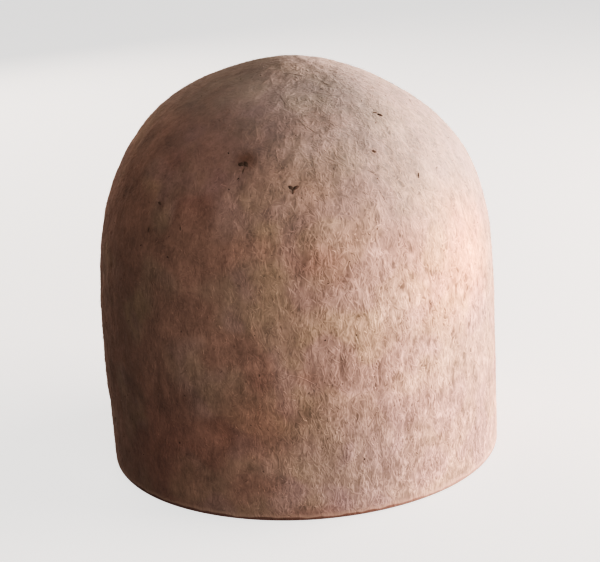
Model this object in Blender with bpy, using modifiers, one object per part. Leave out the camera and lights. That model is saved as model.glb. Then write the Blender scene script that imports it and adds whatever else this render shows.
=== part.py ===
"""A tall, round-crowned cap of thick brown wool felt, with no brim.

The felt is worked over a round block in one piece, so the whole cap is one wall of even
thickness, closed at the crown and open at the rim. The rim stands on the ground with its
centre at the origin. +Z runs up to the crown, -Y is the front and +X is the wearer's left.
All lengths are in metres.
"""

import math
from collections import namedtuple

import bpy
import numpy as np
from mathutils import Vector

# The form that the felt takes from its block, outside
WALL_RADIUS = 0.0940
CAP_HEIGHT = 0.1890
WALL_HEIGHT = 0.0800  # from the rim to where the wall starts to round over

# The crown's outline is (out / WALL_RADIUS) ** FULLNESS_OUT + (up / rise) ** FULLNESS_UP = 1.
# Two twos give a half ellipse, and larger numbers a squarer shoulder.
FULLNESS_OUT = 1.75
FULLNESS_UP = 2.6

# The felt itself
FELT_THICKNESS = 0.0030
RIM_ROUNDING = 0.0010  # radius that handling has worn on both edges of the cut rim
MOST_RIM_ROUNDING = 0.4  # of the thickness, so that a flat is left to stand on

# The rim is trimmed true, so dents fade out above it
TRUE_RIM = 0.0080  # height of the stretch with no dents
RIM_FADE = 0.0200  # height over which they reach their full depth

# Facets
SIDES = 72
WALL_ROWS = 9
CROWN_ROWS = 18
CROWN_SAMPLES = 400  # fine points from which the crown's even rows are read
RIM_EDGE_ANGLE = math.radians(40)  # only the rim's two edges turn more sharply than this
RIM_BEVEL_SEGMENTS = 3
MERGE_DISTANCE = 0.00001

# Hand-worked felt isn't quite round. Each swell or hollow has its centre on the outside:
# azimuth   degrees round +Z from +X
# height    share of CAP_HEIGHT
# reach     share of WALL_RADIUS at which it has died away
# push      share of FELT_THICKNESS, outwards if positive
Dent = namedtuple("Dent", "name azimuth height reach push")
DENTS = (
    Dent("full shoulder, left of the wearer", 0, 0.76, 0.50, 0.37),
    Dent("flat above that shoulder", 0, 0.93, 0.45, -0.31),
    Dent("drawn-in side below it", -8, 0.45, 0.55, -0.12),
    Dent("full crown, right of the wearer", 180, 0.90, 0.50, 0.58),
    Dent("hollow under it", 180, 0.60, 0.50, -0.39),
    Dent("swell above the rim", 184, 0.27, 0.45, 0.37),
    Dent("shallow hollow in front", -96, 0.50, 0.42, -0.34),
    Dent("low swell in front", -62, 0.28, 0.40, 0.22),
    Dent("swell beside the hollow", -128, 0.62, 0.38, 0.20),
    Dent("wide hollow behind", 80, 0.56, 0.55, -0.36),
    Dent("low swell behind", 118, 0.26, 0.45, 0.30),
    Dent("flat on the crown behind", 70, 0.90, 0.42, -0.26),
)

FELT_BROWN = (0.30, 0.19, 0.135, 1.0)
FELT_ROUGHNESS = 0.95


def clear_scene():
    for thing in list(bpy.data.objects):
        bpy.data.objects.remove(thing, do_unlink=True)


def spaced_evenly(line, rows):
    """The line's points, read again at rows + 1 places an even step apart along it."""
    steps = np.hypot(*np.diff(line, axis=0).T)
    along = np.concatenate([[0.0], np.cumsum(steps)])
    places = np.linspace(0.0, along[-1], rows + 1)
    return np.column_stack([np.interp(places, along, line[:, i]) for i in range(2)])


def crown_line():
    """(radius, height) points of the crown's outside, from the top down to the wall."""
    turn = np.linspace(math.pi / 2, 0.0, CROWN_SAMPLES)
    rise = CAP_HEIGHT - WALL_HEIGHT
    radius = WALL_RADIUS * np.cos(turn).clip(0.0) ** (2 / FULLNESS_OUT)
    height = WALL_HEIGHT + rise * np.sin(turn).clip(0.0) ** (2 / FULLNESS_UP)
    radius[0] = 0.0
    return spaced_evenly(np.column_stack([radius, height]), CROWN_ROWS)


def outer_line():
    """(radius, height) points of the whole outside, from the top down to the rim."""
    true_rim = min(TRUE_RIM, WALL_HEIGHT / WALL_ROWS)
    heights = np.append(np.linspace(WALL_HEIGHT, true_rim, WALL_ROWS)[1:], 0.0)
    wall = np.column_stack([np.full_like(heights, WALL_RADIUS), heights])
    return np.vstack([crown_line(), wall])


def turned_surface(line):
    """The mesh of the outside: the line turned round +Z, open at the rim."""
    profile = bpy.data.meshes.new("outer_line")
    points = [(radius, 0.0, height) for radius, height in line]
    edges = [(i, i + 1) for i in range(len(points) - 1)]
    profile.from_pydata(points, edges, [])
    turned = bpy.data.objects.new("turned_felt", profile)
    bpy.context.scene.collection.objects.link(turned)

    screw = turned.modifiers.new("turn", "SCREW")
    screw.axis = "Z"
    screw.angle = 2 * math.pi
    screw.steps = SIDES
    screw.render_steps = SIDES
    screw.use_merge_vertices = True
    screw.merge_threshold = MERGE_DISTANCE
    screw.use_smooth_shade = True

    graph = bpy.context.evaluated_depsgraph_get()
    surface = bpy.data.meshes.new_from_object(turned.evaluated_get(graph))
    bpy.data.objects.remove(turned)
    bpy.data.meshes.remove(profile)
    return surface


def radius_at(line, height):
    return float(np.interp(height, line[::-1, 1], line[::-1, 0]))


def dent_centres(line):
    centres = []
    for dent in DENTS:
        height = dent.height * CAP_HEIGHT
        radius = radius_at(line, height)
        azimuth = math.radians(dent.azimuth)
        centres.append(
            Vector((radius * math.cos(azimuth), radius * math.sin(azimuth), height))
        )
    return centres


def true_rim_share(height):
    """0 on the trimmed rim, rising smoothly to 1 where dents have their full depth."""
    share = min(max((height - TRUE_RIM) / RIM_FADE, 0.0), 1.0)
    return share * share * (3 - 2 * share)


def dent_surface(surface, line):
    """Moves the outside in and out along its normals, as DENTS says."""
    centres = dent_centres(line)
    pushes = []
    for vertex in surface.vertices:
        push = 0.0
        for dent, centre in zip(DENTS, centres):
            away = (vertex.co - centre).length / (dent.reach * WALL_RADIUS)
            if away < 1:
                push += dent.push * FELT_THICKNESS * math.cos(away * math.pi / 2) ** 2
        pushes.append(vertex.normal * push * true_rim_share(vertex.co.z))
    for vertex, push in zip(surface.vertices, pushes):
        vertex.co += push


def felt_material():
    material = bpy.data.materials.new("brown_wool_felt")
    material.use_nodes = True
    shader = material.node_tree.nodes["Principled BSDF"]
    shader.inputs["Base Color"].default_value = FELT_BROWN
    shader.inputs["Roughness"].default_value = FELT_ROUGHNESS
    shader.inputs["Metallic"].default_value = 0.0
    material.diffuse_color = FELT_BROWN
    return material


def add_felt_wall(cap):
    """Gives the outside its wall, inwards, and rounds the two edges of the rim."""
    wall = cap.modifiers.new("felt_wall", "SOLIDIFY")
    wall.thickness = FELT_THICKNESS
    wall.offset = -1.0
    wall.use_even_offset = True
    wall.use_quality_normals = True

    rim = cap.modifiers.new("worn_rim", "BEVEL")
    rim.limit_method = "ANGLE"
    rim.angle_limit = RIM_EDGE_ANGLE
    rim.width = min(RIM_ROUNDING, MOST_RIM_ROUNDING * FELT_THICKNESS)
    rim.segments = RIM_BEVEL_SEGMENTS
    rim.use_clamp_overlap = False


def build_felt_cap(collection):
    line = outer_line()
    surface = turned_surface(line)
    dent_surface(surface, line)
    surface.name = "felt_cap"
    surface.materials.clear()
    surface.materials.append(felt_material())
    surface.shade_smooth()
    cap = bpy.data.objects.new("felt_cap", surface)
    collection.objects.link(cap)
    add_felt_wall(cap)


def main():
    clear_scene()
    collection = bpy.data.collections.new("felt_hat")
    bpy.context.scene.collection.children.link(collection)
    build_felt_cap(collection)


main()
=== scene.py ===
"""A tall brimless cap of brown wool felt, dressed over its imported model.

The sections follow the cap as a felter makes it: the body shrunk on its block, the skin of
matted wool, the fibres that stand off it, and what the wool has picked up. The floor, the
light and the camera come last.
"""

import math

import bpy
import numpy as np
from mathutils import Matrix, Vector
from mathutils.bvhtree import BVHTree


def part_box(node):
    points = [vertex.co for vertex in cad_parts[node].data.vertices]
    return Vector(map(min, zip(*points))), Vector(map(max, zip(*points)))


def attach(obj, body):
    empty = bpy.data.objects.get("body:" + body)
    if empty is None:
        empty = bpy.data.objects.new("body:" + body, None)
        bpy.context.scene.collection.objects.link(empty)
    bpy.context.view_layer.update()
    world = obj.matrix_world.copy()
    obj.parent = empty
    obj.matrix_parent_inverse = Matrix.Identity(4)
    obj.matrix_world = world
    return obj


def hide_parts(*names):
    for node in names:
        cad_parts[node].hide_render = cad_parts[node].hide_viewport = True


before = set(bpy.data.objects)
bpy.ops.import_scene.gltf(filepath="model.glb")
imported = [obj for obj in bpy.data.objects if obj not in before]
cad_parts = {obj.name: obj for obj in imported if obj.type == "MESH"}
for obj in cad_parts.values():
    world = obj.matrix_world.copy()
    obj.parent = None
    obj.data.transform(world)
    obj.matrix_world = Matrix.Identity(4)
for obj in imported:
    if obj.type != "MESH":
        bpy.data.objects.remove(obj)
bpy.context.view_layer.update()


# The felt body. Wool is laid up in an even batt, wetted, rolled and shrunk on a round block
# until it is one seamless wall, whose form the CAD node has. A cage is drawn in to that node,
# made fine, and given the lumps and cockles of hand-worked wool.
_, CAP_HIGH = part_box("felt_cap")
RIM_RADIUS = CAP_HIGH.y
CAP_HEIGHT = CAP_HIGH.z
FELT_THICKNESS = 0.0030
SHOULDER_HEIGHT = 0.0800  # where the wall starts to round over into the crown
CAGE_SHARE = 1.12  # the cage starts this much larger than the cap, all of it outside
CAGE_CUTS = 15  # of each side of the cube that the crown is rounded from
TRUE_RIM = 0.0088  # the block leaves the wall plumb below this height
RIM_TOP = 0.0020  # where the rounding of the cut rim starts
RIM_ROUNDING = 0.0011
WALL_ROWS = 8
OUTER_LEVELS = 3
INNER_LEVELS = 1
RIM_STEPS = 4  # rows that round each edge of the rim
FADE_HEIGHT = 0.0200  # the lumps reach their full depth this far above the rim
ONE_ROW = 0.0005  # the vertices of one row differ less in height than this
ON_THE_GROUND = 0.00002  # the lowest row is below this height, and the next above it

# name, size of a lump across and up, and how far it stands off
UNEVENNESS = (
    ("hand_worked_lumps", 0.021, 0.026, 0.00075),
    ("shrinkage_cockles", 0.0075, 0.0125, 0.00060),
    ("matted_ridges", 0.0030, 0.0070, 0.00030),
)


def only(thing):
    """Makes thing the one selected and active object."""
    bpy.ops.object.select_all(action="DESELECT")
    thing.select_set(True)
    bpy.context.view_layer.objects.active = thing


def select_vertices(thing, chosen):
    """Selects the vertices for which chosen(place) is true, in vertex mode. Ends in edit mode."""
    only(thing)
    bpy.ops.object.mode_set(mode="EDIT")
    bpy.ops.mesh.select_mode(type="VERT")
    bpy.ops.mesh.select_all(action="DESELECT")
    bpy.ops.object.mode_set(mode="OBJECT")
    for vertex in thing.data.vertices:
        vertex.select = chosen(vertex.co)
    bpy.ops.object.mode_set(mode="EDIT")


def copy_of(thing, name):
    only(thing)
    bpy.ops.object.duplicate()
    made = bpy.context.object
    made.name = name
    made.data.name = name
    return made


def apply_modifier(thing, name, kind, **settings):
    only(thing)
    modifier = thing.modifiers.new(name, kind)
    for setting, value in settings.items():
        setattr(modifier, setting, value)
    bpy.ops.object.modifier_apply(modifier=name)


def extrude_rim(drop, shrink=0.0):
    """Extrudes the selected open edge down by drop, and in by shrink, both in metres."""
    radius = edge_radius()
    bpy.ops.mesh.extrude_region_move(TRANSFORM_OT_translate={"value": (0, 0, -drop)})
    share = 1 - shrink / radius
    bpy.ops.transform.resize(value=(share, share, 1), center_override=(0, 0, 0))


def edge_radius():
    """The mean radius of the selected vertices of the mesh being edited."""
    bpy.ops.object.mode_set(mode="OBJECT")
    places = [v.co.xy.length for v in bpy.context.object.data.vertices if v.select]
    bpy.ops.object.mode_set(mode="EDIT")
    return sum(places) / len(places)


def rounded_cube_crown():
    """A dome with no pole: the top half of a cube whose sides are evenly rounded."""
    bpy.ops.object.select_all(action="DESELECT")
    bpy.ops.mesh.primitive_cube_add(size=2)
    cage = bpy.context.object
    bpy.ops.object.mode_set(mode="EDIT")
    bpy.ops.mesh.select_all(action="SELECT")
    bpy.ops.mesh.subdivide(number_cuts=CAGE_CUTS)
    bpy.ops.object.mode_set(mode="OBJECT")
    for vertex in cage.data.vertices:
        even = Vector([math.tan(side * math.pi / 4) for side in vertex.co])
        vertex.co = even.normalized()
    select_vertices(cage, lambda place: place.z < -ONE_ROW)
    bpy.ops.mesh.delete(type="VERT")
    bpy.ops.mesh.select_all(action="SELECT")
    wide, tall = RIM_RADIUS * CAGE_SHARE, (CAP_HEIGHT - SHOULDER_HEIGHT) * CAGE_SHARE
    bpy.ops.transform.resize(value=(wide, wide, tall), center_override=(0, 0, 0))
    bpy.ops.transform.translate(value=(0, 0, SHOULDER_HEIGHT))
    bpy.ops.object.mode_set(mode="OBJECT")
    return cage


def in_fixed_order(thing):
    """Writes the mesh again with its faces in one order, because extrude's order varies."""
    mesh = thing.data
    places = [tuple(vertex.co) for vertex in mesh.vertices]
    faces = []
    for face in mesh.polygons:
        corners = list(face.vertices)
        first = corners.index(min(corners))
        faces.append(corners[first:] + corners[:first])
    mesh.clear_geometry()
    mesh.from_pydata(places, [], sorted(faces))


def cage_on_the_block():
    """The coarse outside, down to RIM_TOP, drawn out to the CAD node's outer side."""
    cage = rounded_cube_crown()
    select_vertices(cage, lambda place: place.z < SHOULDER_HEIGHT + ONE_ROW)
    for _ in range(WALL_ROWS):
        extrude_rim((SHOULDER_HEIGHT - TRUE_RIM) / WALL_ROWS)
    bpy.ops.object.mode_set(mode="OBJECT")
    in_fixed_order(cage)
    apply_modifier(
        cage, "block", "SHRINKWRAP", target=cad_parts["felt_cap"], wrap_method="PROJECT",
        use_positive_direction=False, use_negative_direction=True,
    )
    select_vertices(cage, lambda place: place.z < TRUE_RIM + ONE_ROW)
    extrude_rim(TRUE_RIM - RIM_TOP)
    bpy.ops.object.mode_set(mode="OBJECT")
    in_fixed_order(cage)
    return cage


def stretched_noise(name, across, up):
    """A soft noise whose lumps are that size, and the empty that carries its stretch."""
    texture = bpy.data.textures.new(name, "CLOUDS")
    texture.noise_scale = 1.0
    texture.noise_depth = 1
    bpy.ops.object.select_all(action="DESELECT")
    bpy.ops.object.empty_add()
    guide = bpy.context.object
    guide.scale = (across, across, up)
    bpy.context.view_layer.update()
    return texture, guide


def make_uneven(shell):
    """Pushes the shell in and out, less and less towards the rim, which is cut true."""
    above_rim = shell.vertex_groups.new(name="above_rim")
    for vertex in shell.data.vertices:
        share = min(max((vertex.co.z - TRUE_RIM) / FADE_HEIGHT, 0.0), 1.0)
        above_rim.add([vertex.index], share * share * (3 - 2 * share), "REPLACE")
    for name, across, up, depth in UNEVENNESS:
        texture, guide = stretched_noise(name, across, up)
        apply_modifier(
            shell, name, "DISPLACE", texture=texture, texture_coords="OBJECT",
            texture_coords_object=guide, strength=depth, mid_level=0.5,
            vertex_group="above_rim",
        )
        bpy.data.objects.remove(guide)
    shell.vertex_groups.clear()


def round_rim(shell, inward):
    """Adds the rounded edge of the cut rim to a shell whose lowest row is at RIM_TOP."""
    lowest = min(vertex.co.z for vertex in shell.data.vertices)
    select_vertices(shell, lambda place: place.z < lowest + ONE_ROW)
    extrude_rim(lowest - RIM_ROUNDING)
    for step in range(RIM_STEPS):
        start, end = (turn / RIM_STEPS * math.pi / 2 for turn in (step, step + 1))
        drop = RIM_ROUNDING * (math.sin(end) - math.sin(start))
        shrink = RIM_ROUNDING * (math.cos(start) - math.cos(end))
        extrude_rim(drop, shrink * inward)
    bpy.ops.object.mode_set(mode="OBJECT")


def felt_body():
    """The finished wall, and its outside above the rim as a tree of faces to find places on."""
    cage = cage_on_the_block()
    outer = copy_of(cage, "felt_cap_wool")
    inner = copy_of(cage, "inner_wall")
    bpy.data.objects.remove(cage)

    apply_modifier(outer, "fine", "SUBSURF", levels=OUTER_LEVELS, render_levels=OUTER_LEVELS)
    make_uneven(outer)
    outside = BVHTree.FromObject(outer, bpy.context.evaluated_depsgraph_get())
    round_rim(outer, inward=1)

    apply_modifier(inner, "fine", "SUBSURF", levels=INNER_LEVELS, render_levels=INNER_LEVELS)
    only(inner)
    bpy.ops.object.mode_set(mode="EDIT")
    bpy.ops.mesh.select_all(action="SELECT")
    bpy.ops.transform.shrink_fatten(value=-FELT_THICKNESS)
    bpy.ops.mesh.flip_normals()
    bpy.ops.object.mode_set(mode="OBJECT")
    round_rim(inner, inward=-1)

    bpy.ops.object.select_all(action="DESELECT")
    inner.select_set(True)
    outer.select_set(True)
    bpy.context.view_layer.objects.active = outer
    bpy.ops.object.join()
    select_vertices(outer, lambda place: place.z < ON_THE_GROUND)
    bpy.ops.mesh.select_mode(type="EDGE")
    bpy.ops.mesh.bridge_edge_loops()
    bpy.ops.object.mode_set(mode="OBJECT")
    in_fixed_order(outer)
    outer.data.shade_smooth()
    return outer, outside


cap, skin = felt_body()


# The skin of the felt: hairs of wool matted into a close crinkled grain that runs up and down
# the wall, with painted shade between its strands and painted fainter on the shaded left, in wool
# that took its brown unevenly. Dust has greyed the crown and the wall is darker towards the rim.
# The cut edge has painted shade and dirt on it under a painted highlight, and some marks and the
# russet on the shaded left are painted light and shade.
WOOL_BROWN = (0.338, 0.219, 0.169, 1.0)

# colour, size of a patch, where in the noise its patches are read, how many more of them there
# are for each metre to the right, and how many more there are everywhere
DYE_AND_SHADE_PATCHES = (
    ((0.330, 0.219, 0.160, 1.0), 0.027, (0.0, 0.0, 0.0), 0.0, 0.0),  # olive
    ((0.330, 0.208, 0.174, 1.0), 0.021, (0.31, 0.17, 0.43), 0.0, 0.0),  # mauve
    ((0.312, 0.180, 0.142, 1.0), 0.030, (0.12, 0.53, 0.26), -2.6, -0.08),  # russet, more of it on the shaded left as painted warm shade
)
PATCH_EDGE = (0.46, 0.62)  # of the noise, from outside a patch to inside it
MOTTLE_SIZE = 0.015
MOTTLE = 1.35  # how much lighter and darker the wool is from place to place
DUST_GREY = (0.306, 0.271, 0.247, 1.0)
DUST_HEIGHTS = (0.115, 0.185)  # from none of it to the most
DUST_LEAN = 0.42  # metres lower for each metre to the right
MOST_DUST = 0.55
# the colour grows darker towards the rim, from this height down to this share at the foot
DARKER_BELOW = 0.100
DARKEST_AT_FOOT = 0.91
DRIFT_SIZE = 0.027
DRIFT = 0.05  # how far up and down the edges of dust and of the darkening towards the rim wander, in metres
MARK_DRIFT = 0.004  # the same for the edges of marks
MARK_CORE = 0.1  # of a mark's radius, where its tint is full

# spacing of the strands, and how much longer they are than wide
STRANDS = (0.0026, 3.2)
NAP = (0.0015, 2.2)
GAPS = (0.0024, 2.3)
STRAND_RELIEF = 0.00009
NAP_RELIEF = 0.00004
STRAND_PALENESS = 0.18
NAP_PALENESS = 0.12
GAP_SHADE = 0.24  # how much darker the wool is deep between its strands, painted shade
FOOT_HEIGHTS = (0.010, 0.070)  # from the foot of the wall, rubbed closer, to the rest of it
FOOT_NAP, FOOT_GAPS = 2.2, 0.45  # how strong nap and gaps are at the foot, against elsewhere
SHADED_TO_LIT = (-0.045, 0.075)  # metres to the right, from the shaded side, where the grain is painted faint, to the lit one
GRAIN_STRENGTH = (0.40, 2.10)  # on those two sides
BENDS = 0.45  # of a strand's path, in each spacing
BEND_REACH = 1.6  # in spacings
STRAND_WIDTH = 0.20  # of the noise, to each side of a strand's crest
BREAKS = 0.6  # in each spacing
BREAK_EDGE = (0.38, 0.60)  # of the noise, from broken to whole
BROKEN_HEIGHT = 0.15  # of a whole strand's

# painted shade under the rounded cut edge, with dirt in it, thinner on the lit right
RIM_SHADE_AND_SOIL = (0.180, 0.088, 0.070, 1.0)
RIM_SHADE_TOP = 0.0020
RIM_SHADE_FULL = 0.6  # of that height, below which the painted shade and dirt cover all
RIM_SHADE_THINNING = (0.020, 0.075)  # metres to the right, over which the painted shade thins towards the lit side
LEAST_RIM_SHADE = 0.55
# a painted highlight along the rounded edge, above the painted shade
RIM_HIGHLIGHT = (0.420, 0.268, 0.212, 1.0)
RIM_HIGHLIGHT_TOP = 0.0040
MOST_RIM_HIGHLIGHT = 0.6
RIM_RAGGED_SIZE = 0.006
RIM_RAGGED = 0.0020  # metres, from the highest to the lowest point of a ragged edge

WOOL_FINISH = {
    "Roughness": 0.92,
    "Specular IOR Level": 0.18,
    "Sheen Weight": 0.12,
    "Sheen Roughness": 0.6,
    "Sheen Tint": (1.0, 0.95, 0.92, 1.0),
}

# what it is, azimuth in degrees from the front to the right, height, radius, and the tint
# that it gives the wool in its middle. The stains are the cap's own, and some of the others
# are painted light and shade.
MARKS = (
    ("stain round the largest bit", -15.2, 0.1557, 0.0068, (0.66, 0.57, 0.52)),
    ("stain", 30.5, 0.1550, 0.0030, (0.78, 0.76, 0.74)),
    ("stain", 41.0, 0.1655, 0.0050, (0.84, 0.85, 0.84)),
    ("stain", -42.4, 0.1372, 0.0034, (0.82, 0.78, 0.75)),
    ("stain", -45.3, 0.1264, 0.0030, (0.84, 0.82, 0.80)),
    ("pale wool", 22.0, 0.0980, 0.0320, (1.18, 1.20, 1.18)),
    # painted light on the lit right edge
    ("painted light on the lit edge", 50.0, 0.1060, 0.0440, (1.56, 1.33, 1.10)),
    ("redder place", -14.0, 0.0450, 0.0280, (0.98, 0.86, 0.84)),
    ("pale wool", 3.0, 0.1570, 0.0110, (1.12, 1.12, 1.12)),
    ("pale wool", -6.0, 0.0150, 0.0260, (1.10, 1.10, 1.10)),
    # painted light on the crown's left
    ("painted light on the crown", -14.0, 0.1795, 0.0300, (1.32, 1.33, 1.38)),
    # painted shade on the crown's right
    ("painted shade on the crown", 30.0, 0.1770, 0.0300, (0.76, 0.82, 0.86)),
    # painted shade on the crown's right
    ("painted shade on the crown", 34.0, 0.1600, 0.0300, (0.92, 0.95, 0.96)),
    ("darker place", 10.0, 0.1450, 0.0180, (0.84, 0.84, 0.84)),
    ("redder place", -28.0, 0.1600, 0.0440, (1.05, 0.93, 0.99)),
    # painted shade low on the left
    ("redder place", -40.0, 0.0250, 0.0450, (0.93, 0.83, 0.83)),
    ("grey wool", 14.0, 0.0200, 0.0460, (0.95, 0.99, 1.12)),
    # painted shade low on the right
    ("darker place", 62.0, 0.0300, 0.0420, (0.90, 0.88, 0.89)),
    ("pale wool", 28.0, 0.0740, 0.0500, (1.15, 1.15, 1.14)),
    # painted light on the lit right edge
    ("painted light on the lit edge", 64.0, 0.1080, 0.0360, (1.15, 1.00, 0.93)),
    # painted shade low on the right
    ("darker place", 53.0, 0.0130, 0.0290, (0.82, 0.81, 0.82)),
    # painted shade on the crown's right
    ("painted shade on the crown", 50.0, 0.1815, 0.0220, (0.82, 0.83, 0.84)),
    ("pale wool", -16.5, 0.0330, 0.0200, (1.13, 1.13, 1.13)),
    ("pale wool", 24.7, 0.0620, 0.0180, (1.14, 1.14, 1.14)),
)


def on_skin(azimuth, height):
    """The place on the outside of the felt at that azimuth and height."""
    turn = math.radians(azimuth)
    outward = Vector((math.sin(turn), -math.cos(turn), 0))
    return skin.ray_cast(outward * 2 * RIM_RADIUS + Vector((0, 0, height)), -outward)[0]


def node(tree, kind, settings=None, **inputs):
    """Adds a shader node. An input is a value, or the socket that it is linked from."""
    made = tree.nodes.new(kind)
    for name, value in (settings or {}).items():
        setattr(made, name, value)
    for name, value in inputs.items():
        fill(tree, made.inputs[name.replace("_", " ")], value)
    return made


def fill(tree, socket, value):
    if isinstance(value, bpy.types.NodeSocket):
        tree.links.new(value, socket)
    else:
        socket.default_value = value


def maths(tree, operation, *values):
    made = node(tree, "ShaderNodeMath", {"operation": operation})
    for socket, value in zip(made.inputs, values):
        fill(tree, socket, value)
    return made.outputs[0]


def vector_maths(tree, operation, *values, **inputs):
    made = node(tree, "ShaderNodeVectorMath", {"operation": operation}, **inputs)
    for socket, value in zip(made.inputs, values):
        fill(tree, socket, value)
    return made.outputs[0]


def ramp_between(tree, value, ends, low=0.0, high=1.0):
    """Eases value, as it goes from one of the two ends to the other, into low to high."""
    made = node(
        tree, "ShaderNodeMapRange", {"interpolation_type": "SMOOTHSTEP"}, Value=value,
        From_Min=ends[0], From_Max=ends[1], To_Min=low, To_Max=high,
    )
    return made.outputs["Result"]


def mix_colours(tree, kind, share, a, b):
    made = tree.nodes.new("ShaderNodeMix")
    made.data_type = "RGBA"
    made.blend_type = kind
    for socket, value in ((made.inputs[0], share), (made.inputs[6], a), (made.inputs[7], b)):
        fill(tree, socket, value)
    return made.outputs[2]


def new_group(name, inputs, outputs):
    """An empty node group with named sockets: (the tree, its input node, its output node)."""
    tree = bpy.data.node_groups.new(name, "ShaderNodeTree")
    for socket, kind in inputs.items():
        tree.interface.new_socket(socket, in_out="INPUT", socket_type="NodeSocket" + kind)
    for socket, kind in outputs.items():
        tree.interface.new_socket(socket, in_out="OUTPUT", socket_type="NodeSocket" + kind)
    return tree, tree.nodes.new("NodeGroupInput"), tree.nodes.new("NodeGroupOutput")


def noise(tree, where, scale, detail=1.0, roughness=0.5):
    return node(
        tree, "ShaderNodeTexNoise", Vector=where, Scale=scale, Detail=detail,
        Roughness=roughness,
    ).outputs


def split_up(tree, where):
    """The X, Y and Z of a place, as sockets."""
    return node(tree, "ShaderNodeSeparateXYZ", Vector=where).outputs


def matted_strands_group():
    """Crinkled strands that part and close, longer up the cap than across. Height is 0 to 1."""
    tree, given, result = new_group(
        "matted_strands",
        {"Vector": "Vector", "Spacing": "Float", "Stretch": "Float"},
        {"Height": "Float"},
    )
    where, spacing = given.outputs["Vector"], given.outputs["Spacing"]
    bend = noise(tree, where, maths(tree, "DIVIDE", BENDS, spacing))["Color"]
    centred = vector_maths(tree, "SUBTRACT", bend, (0.5, 0.5, 0.5))
    reach = maths(tree, "MULTIPLY", spacing, BEND_REACH)
    bent = vector_maths(tree, "ADD", where, vector_maths(tree, "SCALE", centred, Scale=reach))
    shorter = maths(tree, "DIVIDE", 1.0, given.outputs["Stretch"])
    flatten = node(tree, "ShaderNodeCombineXYZ", X=1.0, Y=1.0, Z=shorter)
    stretched = vector_maths(tree, "MULTIPLY", bent, flatten.outputs[0])
    lie = noise(tree, stretched, maths(tree, "DIVIDE", 1.0, spacing))["Fac"]
    off_crest = maths(tree, "ABSOLUTE", maths(tree, "SUBTRACT", lie, 0.5))
    crest = ramp_between(tree, off_crest, (STRAND_WIDTH, 0.0))
    breaks = noise(tree, stretched, maths(tree, "DIVIDE", BREAKS, spacing))["Fac"]
    parted = ramp_between(tree, breaks, BREAK_EDGE, BROKEN_HEIGHT, 1.0)
    fill(tree, result.inputs["Height"], maths(tree, "MULTIPLY", crest, parted))
    return tree


def towards_lit_side(tree, where):
    """Metres to the right of the middle, towards the lit side. The left in front is the side in
    shade, and the back is not counted with it.
    """
    split = split_up(tree, where)
    return maths(tree, "ADD", split["X"], maths(tree, "MAXIMUM", split["Y"], 0.0))


def uneven_dye_and_shade_group():
    """Brown wool in patches of four hues, mottled lighter and darker at every size. The russet
    leans to the shaded left as painted warm shade.
    """
    tree, given, result = new_group("uneven_dye_and_painted_shade", {"Vector": "Vector"}, {"Color": "Color"})
    where = given.outputs["Vector"]
    to_the_right = towards_lit_side(tree, where)
    hue = WOOL_BROWN
    for patch, size, other, lean, more in DYE_AND_SHADE_PATCHES:
        patches = noise(tree, vector_maths(tree, "ADD", where, other), 1 / size)["Fac"]
        # the russet leans to the shaded left, painted warm shade over the wool's own patches
        leaning = maths(tree, "MULTIPLY_ADD", to_the_right, lean, more)
        inside = ramp_between(tree, maths(tree, "ADD", patches, leaning), PATCH_EDGE)
        hue = mix_colours(tree, "MIX", inside, hue, patch)
    mottle = noise(tree, where, 1 / MOTTLE_SIZE, detail=4.0, roughness=0.8)["Fac"]
    centred = maths(tree, "SUBTRACT", mottle, 0.5)
    shade = maths(tree, "MULTIPLY_ADD", centred, MOTTLE, 1.0)
    fill(tree, result.inputs["Color"], vector_maths(tree, "SCALE", hue, Scale=shade))
    return tree


def use_and_painted_light_group():
    """Dust on the crown, darker towards the rim, and single marks: stains, and painted light and
    shade.
    """
    tree, given, result = new_group(
        "use_and_painted_light", {"Vector": "Vector", "Color": "Color"}, {"Color": "Color"},
    )
    where, colour = given.outputs["Vector"], given.outputs["Color"]
    split = split_up(tree, where)
    drift = noise(tree, where, 1 / DRIFT_SIZE, detail=3.0)["Fac"]
    lowered = maths(tree, "SUBTRACT", split["Z"], DRIFT / 2)
    uneven = maths(tree, "MULTIPLY_ADD", drift, DRIFT, lowered)
    leaning = maths(tree, "MULTIPLY_ADD", split["X"], DUST_LEAN, uneven)
    dust = ramp_between(tree, leaning, DUST_HEIGHTS, 0.0, MOST_DUST)
    colour = mix_colours(tree, "MIX", dust, colour, DUST_GREY)
    # darker towards the rim
    darker_low = ramp_between(tree, uneven, (0.0, DARKER_BELOW), DARKEST_AT_FOOT, 1.0)
    colour = vector_maths(tree, "SCALE", colour, Scale=darker_low)
    stray = noise(tree, where, 1 / MOTTLE_SIZE, detail=4.0, roughness=0.7)["Color"]
    stray = vector_maths(tree, "SUBTRACT", stray, (0.5, 0.5, 0.5))
    stray = vector_maths(tree, "SCALE", stray, Scale=MARK_DRIFT)
    strayed = vector_maths(tree, "ADD", where, stray)
    # stains, and painted light and shade in broad places
    for _, azimuth, up, radius, tint in MARKS:
        away = node(tree, "ShaderNodeVectorMath", {"operation": "DISTANCE"})
        fill(tree, away.inputs[0], strayed)
        fill(tree, away.inputs[1], on_skin(azimuth, up))
        near = ramp_between(tree, away.outputs["Value"], (radius, radius * MARK_CORE))
        colour = mix_colours(tree, "MULTIPLY", near, colour, (*tint, 1.0))
    fill(tree, result.inputs["Color"], colour)
    return tree


MATTED_STRANDS = matted_strands_group()
UNEVEN_DYE_AND_SHADE = uneven_dye_and_shade_group()
USE_AND_PAINTED_LIGHT = use_and_painted_light_group()


def placed(tree, group, **inputs):
    return node(tree, "ShaderNodeGroup", {"node_tree": group}, **inputs)


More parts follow.
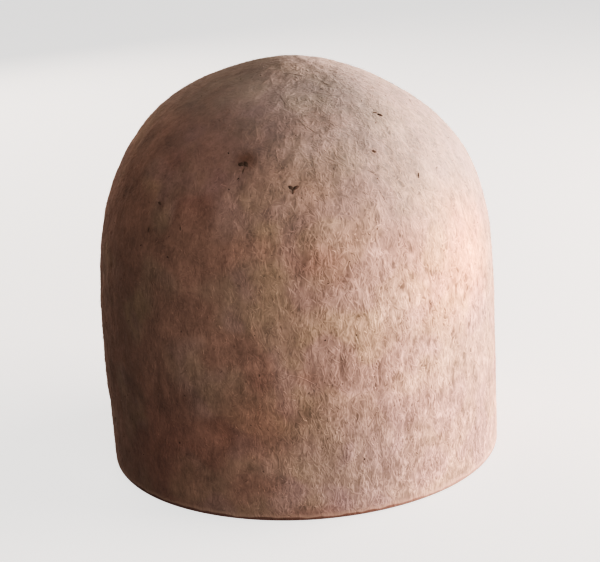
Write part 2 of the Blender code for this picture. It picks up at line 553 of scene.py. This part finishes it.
def wool_shader(tree, colour, normal=None):
    """The finish that all the wool shares: dull, with the soft sheen of fine hair."""
    shader = tree.nodes["Principled BSDF"]
    fill(tree, shader.inputs["Base Color"], colour)
    for name, value in WOOL_FINISH.items():
        shader.inputs[name].default_value = value
    if normal:
        fill(tree, shader.inputs["Normal"], normal)


def used_wool(tree, where, shade):
    """The wool's colour at every place, times shade."""
    dyed = placed(tree, UNEVEN_DYE_AND_SHADE, Vector=where).outputs["Color"]
    shaded = vector_maths(tree, "SCALE", dyed, Scale=shade)
    return placed(tree, USE_AND_PAINTED_LIGHT, Vector=where, Color=shaded).outputs["Color"]


def strand_heights(tree, where, kind):
    """0 to 1 over one of STRANDS, NAP and GAPS."""
    spacing, stretch = kind
    made = placed(tree, MATTED_STRANDS, Vector=where, Spacing=spacing, Stretch=stretch)
    return made.outputs["Height"]


def grain_shade(tree, where, strands, nap, gaps):
    """How pale the grain is, 1 on the whole: pale strands and nap, and dark gaps of painted
    shade, all painted fainter on the shaded side and stronger on the lit one.
    """
    up = split_up(tree, where)["Z"]
    shade = maths(tree, "MULTIPLY_ADD", strands, STRAND_PALENESS, 1 - STRAND_PALENESS * 0.5)
    close = ramp_between(tree, up, FOOT_HEIGHTS, NAP_PALENESS * FOOT_NAP, NAP_PALENESS)
    shade = maths(tree, "MULTIPLY_ADD", nap, close, shade)
    # painted shade in the gaps between the strands
    dark = ramp_between(tree, up, FOOT_HEIGHTS, -GAP_SHADE * FOOT_GAPS, -GAP_SHADE)
    shade = maths(tree, "MULTIPLY_ADD", gaps, dark, shade)
    # the grain is painted fainter on the shaded side and stronger on the lit one
    strength = ramp_between(tree, towards_lit_side(tree, where), SHADED_TO_LIT, *GRAIN_STRENGTH)
    return maths(tree, "MULTIPLY_ADD", maths(tree, "SUBTRACT", shade, 1.0), strength, 1.0)


def rim_with_highlight_and_shade(tree, where, colour):
    """The colour, with a painted highlight above the cut edge and painted shade and dirt on it.
    """
    split = split_up(tree, where)
    ragged = noise(tree, where, 1 / RIM_RAGGED_SIZE)["Fac"]
    lowered = maths(tree, "SUBTRACT", split["Z"], RIM_RAGGED / 2)
    height = maths(tree, "MULTIPLY_ADD", ragged, RIM_RAGGED, lowered)
    # painted highlight above the cut edge
    highlit = ramp_between(tree, height, (RIM_HIGHLIGHT_TOP, RIM_SHADE_TOP), 0.0, MOST_RIM_HIGHLIGHT)
    colour = mix_colours(tree, "MIX", highlit, colour, RIM_HIGHLIGHT)
    # painted shade and dirt on the cut edge, thinning towards the lit right
    most = ramp_between(tree, split["X"], RIM_SHADE_THINNING, 1.0, LEAST_RIM_SHADE)
    rim_shaded = ramp_between(tree, height, (RIM_SHADE_TOP, RIM_SHADE_TOP * RIM_SHADE_FULL), 0.0, most)
    return mix_colours(tree, "MIX", rim_shaded, colour, RIM_SHADE_AND_SOIL)


def felt_material():
    material = bpy.data.materials.new("brown_wool_felt")
    material.use_nodes = True
    tree = material.node_tree
    where = node(tree, "ShaderNodeTexCoord").outputs["Object"]
    strands, nap, gaps = (strand_heights(tree, where, kind) for kind in (STRANDS, NAP, GAPS))
    gaps = maths(tree, "MULTIPLY", gaps, maths(tree, "SUBTRACT", 1.0, nap))
    colour = used_wool(tree, where, grain_shade(tree, where, strands, nap, gaps))
    relief = node(
        tree, "ShaderNodeBump", Height=maths(tree, "SUBTRACT", nap, gaps),
        Distance=NAP_RELIEF, Strength=1.0,
    ).outputs["Normal"]
    relief = node(
        tree, "ShaderNodeBump", Height=strands, Distance=STRAND_RELIEF, Strength=1.0,
        Normal=relief,
    ).outputs["Normal"]
    wool_shader(tree, rim_with_highlight_and_shade(tree, where, colour), relief)
    return material


cap.data.materials.clear()
cap.data.materials.append(felt_material())
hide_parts("felt_cap")
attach(cap, "root")


# The hairs of the wool. They lie matted on the felt, up and down the wall and every way on
# the crown, and the finest stand a little off it. Some are bleached and some dark, and a few
# long stiff kemp hairs lie over the rest.
FIBRE_POINTS = 6
ROOT_SPREAD = 0.0006  # how far a hair's root strays from the place that it is given, in metres
LIE_OF_WOOL = (0.02, 0.01, -1.0)  # down the wall, and to one side where the crown is level
CROWN_LOOSENESS = 90  # degrees more of spread on the level top than on the wall
FREE_RISE = 1.3  # the power of its length with which a free hair rises
LENGTH_RANGE = (0.6, 1.5)  # of the kind's length
LIFT_RANGE = (0.3, 1.4)
WIDTH_RANGE = (0.6, 1.4)
TONE_SPREAD = 0.06
TONE_RANGE = (0.45, 1.8)
HAIR_SHADED_TO_LIT = (-0.045, 0.030)  # metres to the right, from the shaded side to the lit one
TONE_STRENGTH = (0.30, 1.0)  # how far tones stand out on those two sides, painted fainter in shade
HAIR_EDGE = 80  # degrees, below which the edges of a hair are shaded smooth

# name, how many, length, half width, how far it bulges out for its half width, spread of
# direction in degrees, degrees that it curls at each point, lift off the felt in metres, how
# much of its length stands free, and how pale it is
FIBRES = (
    ("matted_hairs_long", 5600, 0.0060, 0.00036, 0.15, 20, 11, 0.00006, 0.0, 1.05),
    ("matted_hairs_short", 8000, 0.0030, 0.00036, 0.16, 32, 14, 0.00006, 0.0, 1.06),
    ("surface_fuzz", 3600, 0.0044, 0.000022, 1.00, 60, 32, 0.00070, 1.0, 1.00),
    ("kemp_hairs", 90, 0.0130, 0.00007, 1.00, 45, 12, 0.00008, 0.1, 1.15),
    ("bleached_hairs", 1300, 0.0026, 0.00020, 0.50, 22, 22, 0.00010, 0.0, 1.42),
    ("dark_hairs", 1000, 0.0022, 0.00018, 0.40, 32, 22, 0.00008, 0.0, 0.58),
)


def scatter(random, count, outside):
    """count random places over the outside of the felt, spread evenly, and its normals there."""
    centres, normals, areas = outside
    chosen = random.choice(len(areas), size=count, p=areas / areas.sum())
    stray = random.normal(0, ROOT_SPREAD, (count, 3))
    return centres[chosen] + stray, normals[chosen]


def outside_faces():
    """(centres, normals, areas) of the outer skin's faces above the rounding of the rim."""
    faces = cap.data.polygons
    centres, normals, areas = (np.empty(len(faces) * width) for width in (3, 3, 1))
    faces.foreach_get("center", centres)
    faces.foreach_get("normal", normals)
    faces.foreach_get("area", areas)
    centres, normals = centres.reshape(-1, 3), normals.reshape(-1, 3)
    outward = centres.copy()
    outward[:, 2] = np.maximum(centres[:, 2] - SHOULDER_HEIGHT, 0)
    outer = (np.einsum("ij,ij->i", normals, outward) > 0) & (centres[:, 2] > RIM_TOP)
    return centres[outer], normals[outer], areas[outer]


def nearest_on_skin(places):
    """The nearest points of the skin, and its normals there."""
    found = [skin.find_nearest(Vector(place))[:2] for place in places]
    return np.array([f[0] for f in found]), np.array([f[1] for f in found])


def unit(vectors):
    return vectors / np.linalg.norm(vectors, axis=1, keepdims=True)


def along_skin(heading, normals):
    """The heading, laid flat on the skin."""
    return unit(heading - normals * np.einsum("ij,ij->i", heading, normals)[:, None])


def turned_about(heading, normals, angle):
    """The heading, turned about the normals by the angle in radians."""
    side = np.cross(normals, heading)
    return heading * np.cos(angle)[:, None] + side * np.sin(angle)[:, None]


def down_the_wall(normals):
    return along_skin(np.tile(LIE_OF_WOOL, (len(normals), 1)), normals)


def laid_paths(random, starts, heading, lengths, curl, lifts, free):
    """The points of every fibre, with the outward and sideways directions at each."""
    count = len(starts)
    bend = random.normal(0, math.radians(curl) / 2, count)
    at = starts
    places, outs, sides = [], [], []
    for step in range(FIBRE_POINTS):
        at, normals = nearest_on_skin(at)
        heading = along_skin(heading, normals)
        share = step / (FIBRE_POINTS - 1)
        rise = (1 - free) * math.sin(share * math.pi) + free * share**FREE_RISE
        places.append(at + normals * (lifts * rise)[:, None])
        outs.append(normals)
        sides.append(np.cross(normals, heading))
        turn = bend + random.normal(0, math.radians(curl), count)
        heading = turned_about(heading, normals, turn)
        at = at + heading * (lengths / (FIBRE_POINTS - 1))[:, None]
    return np.array(places), np.array(outs), np.array(sides)


def fibre_mesh(name, paths, radii, bulge, tones):
    """One piece of three-sided tubes that taper to a point at both ends, each with its tone."""
    places, outs, sides = paths
    count = places.shape[1]
    rings = FIBRE_POINTS - 2
    shares = np.arange(1, FIBRE_POINTS - 1) / (FIBRE_POINTS - 1)
    taper = np.sqrt(np.sin(shares * math.pi))
    reach = radii[None, :, None] * taper[:, None, None]
    inner, out, side = places[1:-1], outs[1:-1] * reach * bulge, sides[1:-1] * reach
    corners = np.stack([inner + out, inner + side - out / 2, inner - side - out / 2], axis=2)
    corners = corners.transpose(1, 0, 2, 3).reshape(count, rings * 3, 3)
    points = np.concatenate([places[0][:, None], corners, places[-1][:, None]], axis=1)
    size = rings * 3 + 2
    faces = []
    for corner in range(3):
        beside = (corner + 1) % 3
        faces.append((0, 1 + corner, 1 + beside))
        for ring in range(rings - 1):
            a, b = 1 + ring * 3, 4 + ring * 3
            faces.append((a + corner, b + corner, b + beside, a + beside))
        last = 1 + (rings - 1) * 3
        faces.append((last + corner, size - 1, last + beside))
    all_faces = []
    for start in range(0, count * size, size):
        all_faces += [tuple(start + corner for corner in face) for face in faces]
    mesh = bpy.data.meshes.new(name)
    mesh.from_pydata(points.reshape(-1, 3).tolist(), [], all_faces)
    tone = mesh.attributes.new("tone", "FLOAT", "POINT")
    tone.data.foreach_set("value", np.repeat(tones, size).astype(np.float32))
    made = bpy.data.objects.new(name, mesh)
    bpy.context.scene.collection.objects.link(made)
    only(made)
    bpy.ops.object.shade_smooth_by_angle(angle=math.radians(HAIR_EDGE))
    return made


def hair_material():
    """Wool hair from dark to pale, by each hair's own tone, coloured as the felt is, in its
    patches and with its painted light and shade.
    """
    material = bpy.data.materials.new("wool_hair")
    material.use_nodes = True
    tree = material.node_tree
    where = node(tree, "ShaderNodeTexCoord").outputs["Object"]
    tone = node(tree, "ShaderNodeAttribute", {"attribute_name": "tone"}).outputs["Fac"]
    wool_shader(tree, used_wool(tree, where, tone))
    return material


random = np.random.default_rng(7)
outside = outside_faces()
hair = hair_material()
for name, count, length, width, bulge, spread, curl, lift, free, pale in FIBRES:
    starts, normals = scatter(random, count, outside)
    loose = math.radians(spread) + normals[:, 2].clip(0) * math.radians(CROWN_LOOSENESS)
    heading = turned_about(down_the_wall(normals), normals, random.normal(0, 1, count) * loose)
    lengths = length * random.uniform(*LENGTH_RANGE, count)
    lifts = lift * random.uniform(*LIFT_RANGE, count)
    paths = laid_paths(random, starts, heading, lengths, curl, lifts, free)
    high_enough = paths[0][:, :, 2].min(axis=0) > RIM_TOP
    paths = [part[:, high_enough] for part in paths]
    hairs = paths[0].shape[1]
    radii = width * random.uniform(*WIDTH_RANGE, hairs)
    tones = random.normal(pale, TONE_SPREAD, hairs).clip(*TONE_RANGE)
    side = paths[0][0][:, 0] + paths[0][0][:, 1].clip(0)
    # hair tones are painted fainter on the shaded side and full on the lit one
    tones = 1 + (tones - 1) * np.interp(side, HAIR_SHADED_TO_LIT, TONE_STRENGTH)
    wool = fibre_mesh(name, paths, radii, bulge, tones)
    wool.data.materials.append(hair)
    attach(wool, "root")


# Bits caught in the wool as it was worked: crumbs of bark and chaff, flat and dark, bedded
# in the felt so that only their backs show. The largest few lie on the front of the crown.
BIT_BULGE = 0.38
BIT_CURL = 5
BIT_LIFT = 0.00012
STRAY_BITS = 150
STRAY_LENGTHS = (0.0005, 0.0013)
STRAY_WIDTHS = (0.00012, 0.00026)
STRAY_TONES = (0.5, 1.3)
BARK_BROWN = (0.098, 0.060, 0.046)
BARK_GRAIN_SIZE = 0.0015
BARK_GRAIN = 0.8  # how much of its tone follows its grain
BARK_LEAST = 0.6  # of its tone, where the grain is darkest

# azimuth and height of its middle, the way that it points in degrees from straight down
# towards the right, length, half width, and how pale it is
BITS = (
    (-16.7, 0.1540, 70, 0.0030, 0.00125, 1.20),
    (-15.2, 0.1542, 30, 0.0032, 0.00105, 1.00),
    (-15.7, 0.1519, 178, 0.0030, 0.00040, 1.60),
    (-0.2, 0.1453, 52, 0.0026, 0.00090, 1.10),
    (1.4, 0.1448, 104, 0.0034, 0.00085, 1.20),
    (0.5, 0.1437, 4, 0.0028, 0.00065, 1.50),
    (43.6, 0.1670, 60, 0.0030, 0.00080, 0.50),
    (42.0, 0.1680, 75, 0.0024, 0.00034, 0.60),
    (42.8, 0.1427, 172, 0.0032, 0.00040, 0.45),
    (30.4, 0.1548, 60, 0.0026, 0.00060, 0.75),
    (-43.0, 0.1376, 75, 0.0028, 0.00070, 1.60),
    (-33.3, 0.1289, 10, 0.0020, 0.00034, 1.60),
    (-45.3, 0.1264, 0, 0.0030, 0.00045, 1.60),
)


def bits_in_wool():
    placed_bits = [tuple(on_skin(bit[0], bit[1])) for bit in BITS]
    angles, lengths, widths, tones = np.array(BITS)[:, 2:].T
    strays, _ = scatter(random, STRAY_BITS, outside)
    middles = np.concatenate([np.array(placed_bits), strays])
    angles = np.radians(np.concatenate([angles, random.uniform(0, 360, STRAY_BITS)]))
    lengths = np.concatenate([lengths, random.uniform(*STRAY_LENGTHS, STRAY_BITS)])
    widths = np.concatenate([widths, random.uniform(*STRAY_WIDTHS, STRAY_BITS)])
    _, normals = nearest_on_skin(middles)
    heading = turned_about(down_the_wall(normals), normals, angles)
    starts = middles - heading * lengths[:, None] / 2
    lifts = np.full(len(middles), BIT_LIFT)
    paths = laid_paths(random, starts, heading, lengths, BIT_CURL, lifts, 0.0)
    tones = np.concatenate([tones, random.uniform(*STRAY_TONES, STRAY_BITS)])
    return fibre_mesh("bits_in_wool", paths, widths, BIT_BULGE, tones)


def bark_material():
    material = bpy.data.materials.new("bark_and_chaff")
    material.use_nodes = True
    tree = material.node_tree
    where = node(tree, "ShaderNodeTexCoord").outputs["Object"]
    grain = noise(tree, where, 1 / BARK_GRAIN_SIZE, detail=3.0)["Fac"]
    tone = node(tree, "ShaderNodeAttribute", {"attribute_name": "tone"}).outputs["Fac"]
    grained = maths(tree, "MULTIPLY_ADD", grain, BARK_GRAIN, BARK_LEAST)
    shade = maths(tree, "MULTIPLY", tone, grained)
    shader = tree.nodes["Principled BSDF"]
    fill(tree, shader.inputs["Base Color"], vector_maths(tree, "SCALE", BARK_BROWN, Scale=shade))
    shader.inputs["Roughness"].default_value = 0.8
    shader.inputs["Specular IOR Level"].default_value = 0.3
    return material


bits = bits_in_wool()
bits.data.materials.append(bark_material())
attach(bits, "root")


# The floor, pale and plain, on which the cap stands by itself. It glows a little, as a sheet
# lit from all round would, and throws no light up on the wool.
FLOOR_SIZE = 12
FLOOR_FINISH = {
    "Base Color": (0.40, 0.39, 0.38, 1.0),
    "Roughness": 0.9,
    "Emission Color": (1.0, 1.0, 1.0, 1.0),
    "Emission Strength": 0.80,
}

bpy.ops.object.select_all(action="DESELECT")
bpy.ops.mesh.primitive_plane_add(size=FLOOR_SIZE)
floor = bpy.context.object
floor.name = "floor"
floor.visible_diffuse = False
pale_floor = bpy.data.materials.new("pale_floor")
pale_floor.use_nodes = True
for name, value in FLOOR_FINISH.items():
    pale_floor.node_tree.nodes["Principled BSDF"].inputs[name].default_value = value
floor.data.materials.append(pale_floor)


# Light: a low window on the right, a weak soft lamp in front, and another behind on the left,
# in a dim warm room.
CAP_MIDDLE = Vector((0, 0, CAP_HEIGHT / 2))
ROOM_COLOUR = (1.0, 0.70, 0.50, 1.0)
ROOM_STRENGTH = 0.095

# name, azimuth and elevation in degrees, distance, width, height, power in watts, and colour.
# Azimuth 0 is the front, and 90 the right.
LAMPS = (
    ("window", 95, 1, 1.1, 1.2, 0.6, 81, (1.0, 0.81, 0.72)),
    ("room_in_front", 18, 8, 1.1, 0.9, 0.9, 9.2, (0.92, 1.0, 0.98)),
    ("room_behind", -150, 27, 1.3, 1.1, 1.0, 11, (1.0, 0.85, 0.74)),
)


def soft_lamp(name, azimuth, elevation, distance, width, height, power, colour):
    """A lamp that faces the middle of the cap."""
    a, e = math.radians(azimuth), math.radians(elevation)
    towards = Vector((math.sin(a) * math.cos(e), -math.cos(a) * math.cos(e), math.sin(e)))
    bpy.ops.object.light_add(type="AREA", location=CAP_MIDDLE + towards * distance)
    lamp = bpy.context.object
    lamp.name = name
    lamp.rotation_euler = (-towards).to_track_quat("-Z", "Y").to_euler()
    lamp.data.shape = "RECTANGLE"
    lamp.data.size = width
    lamp.data.size_y = height
    lamp.data.energy = power
    lamp.data.color = colour


for lamp in LAMPS:
    soft_lamp(*lamp)
world = bpy.data.worlds.new("room")
world.use_nodes = True
world.node_tree.nodes["Background"].inputs["Color"].default_value = ROOM_COLOUR
world.node_tree.nodes["Background"].inputs["Strength"].default_value = ROOM_STRENGTH
bpy.context.scene.world = world
bpy.context.scene.view_settings.view_transform = "AgX"
bpy.context.scene.view_settings.look = "AgX - Very High Contrast"


# The camera, a little above the cap and turned on its axis as the photograph's was. Its
# height and turn were fitted to the cap's outline, at an assumed distance.
CAMERA_DISTANCE = 0.700
CAMERA_ELEVATION = math.radians(15.7)
CAMERA_ROLL = math.radians(3.37)
FOCAL_PIXELS = 1465
PICTURE_WIDTH = 600
SENSOR_WIDTH = 36
MIDDLE_LEFT_OF_CENTRE = 4.5  # pixels, from the picture's centre to the cap's middle
MIDDLE_ABOVE_CENTRE = 27.4

back = Vector((0, -math.cos(CAMERA_ELEVATION), math.sin(CAMERA_ELEVATION)))
bpy.ops.object.camera_add(location=CAP_MIDDLE + back * CAMERA_DISTANCE)
camera = bpy.context.object
turn = (-back).to_track_quat("-Z", "Y").to_matrix().to_4x4()
turn @= Matrix.Rotation(-CAMERA_ROLL, 4, "Z")
turn @= Matrix.Rotation(-math.atan(MIDDLE_ABOVE_CENTRE / FOCAL_PIXELS), 4, "X")
turn @= Matrix.Rotation(-math.atan(MIDDLE_LEFT_OF_CENTRE / FOCAL_PIXELS), 4, "Y")
camera.rotation_euler = turn.to_euler()
camera.data.sensor_width = SENSOR_WIDTH
camera.data.lens = SENSOR_WIDTH * FOCAL_PIXELS / PICTURE_WIDTH
bpy.context.scene.camera = camera
